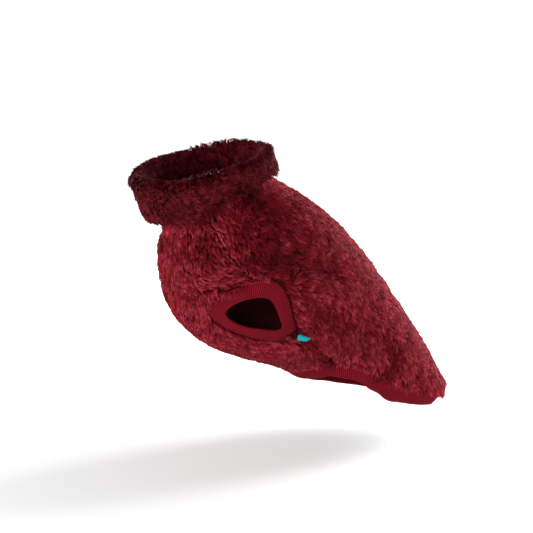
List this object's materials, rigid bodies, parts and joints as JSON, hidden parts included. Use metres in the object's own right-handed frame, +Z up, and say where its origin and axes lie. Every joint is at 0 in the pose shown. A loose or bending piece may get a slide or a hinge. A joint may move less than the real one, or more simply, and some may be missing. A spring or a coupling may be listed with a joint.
{
  "type": "dog sweater",
  "caption": "Sleeveless pullover sweater for a small dog in teddy fleece, with a turned-down roll-neck collar and rib-knit armhole and hem bands, in its worn hollow form.",
  "frame": {"origin": "inside the base of the neck, close under the back panel, where the wearer's shoulders carry the garment", "axes": "+Z up, +Y from the chest towards the back of the hem, +X towards the garment's left side; the chest faces -Y"},
  "size_m": [0.1537, 0.3331, 0.2616],
  "materials": {
    "fleece": "long-pile teddy fleece, burgundy",
    "rib_knit": "rib knit, burgundy",
    "tape": "woven tape, plain teal"
  },
  "bodies": {
    "root": {"back_panel": "fleece", "chest_panel": "fleece", "collar": "fleece", "armhole_rib_left": "rib_knit", "armhole_rib_right": "rib_knit", "hem_rib": "rib_knit", "label_tab": "tape"}
  },
  "joints": []
}
